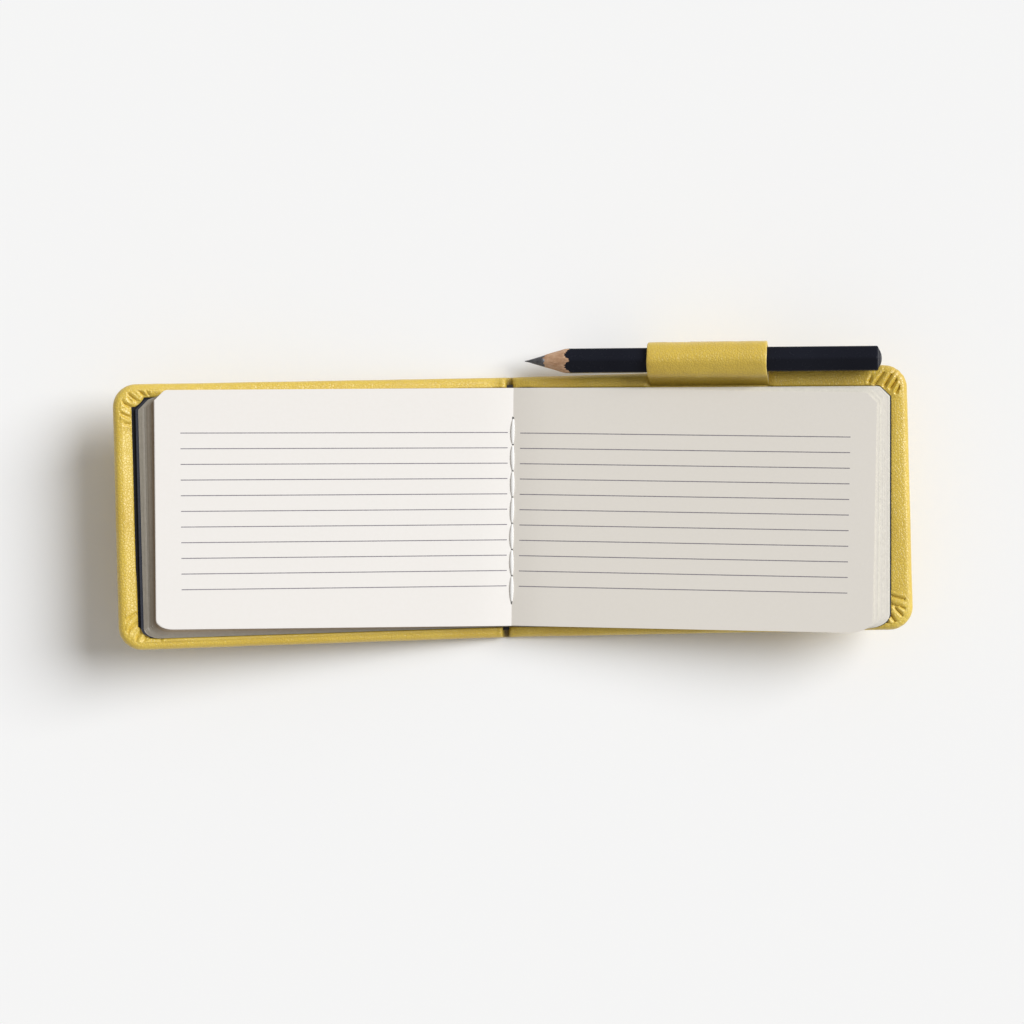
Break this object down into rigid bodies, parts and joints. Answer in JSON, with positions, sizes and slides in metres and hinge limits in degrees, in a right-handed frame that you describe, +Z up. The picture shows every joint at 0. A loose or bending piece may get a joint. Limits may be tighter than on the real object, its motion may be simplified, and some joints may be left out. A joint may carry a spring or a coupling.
{
  "type": "notebook",
  "caption": "Small ruled notebook lying open in a padded yellow leather cover, its leaves sewn at the gutter, with a sharpened pencil in a leather loop at the head of its back cover.",
  "frame": {"origin": "middle of the flat underside of the spine, on the surface that the notebook rests on", "axes": "+X across the open spread towards the back cover, +Y along the spine towards the head, +Z up"},
  "size_m": [0.2214, 0.0842, 0.027],
  "materials": {
    "cover_leather": "satin grained",
    "board": "matte",
    "endpaper": "matte",
    "lining": "open weave",
    "leaves": "matte uncoated",
    "ink": "matte",
    "thread": "twisted",
    "pencil_wood": "cut",
    "pencil_lacquer": "gloss",
    "pencil_lead": "satin"
  },
  "bodies": {
    "spine": {"spine_leather": "cover_leather", "spine_stiffener": "board", "spine_lining": "lining", "page_block": "leaves", "ruled_lines": "ink", "sewing_thread": "thread", "front_flyleaf": "endpaper", "back_flyleaf": "endpaper"},
    "front_cover": {"front_leather": "cover_leather", "front_board": "board", "front_pastedown": "endpaper"},
    "back_cover": {"back_leather": "cover_leather", "back_board": "board", "back_pastedown": "endpaper", "pencil_loop": "cover_leather"},
    "pencil": {"pencil_wood": "pencil_wood", "pencil_lacquer": "pencil_lacquer", "pencil_lead": "pencil_lead"}
  },
  "joints": [
    {"name": "front_cover_hinge", "type": "hinge", "parent": "spine", "child": "front_cover", "pos_m": [-0.0046, 0, 0.0006], "axis": [0, -1, 0], "range_deg": [0, 10.5]},
    {"name": "back_cover_hinge", "type": "hinge", "parent": "spine", "child": "back_cover", "pos_m": [0.0046, 0, 0.0006], "axis": [0, 1, 0], "range_deg": [0, 8.5]},
    {"name": "pencil_slide", "type": "slide", "parent": "back_cover", "child": "pencil", "axis": [0.9887, -0.0253, 0.1478], "range_m": [-0.035, 0.068]}
  ]
}
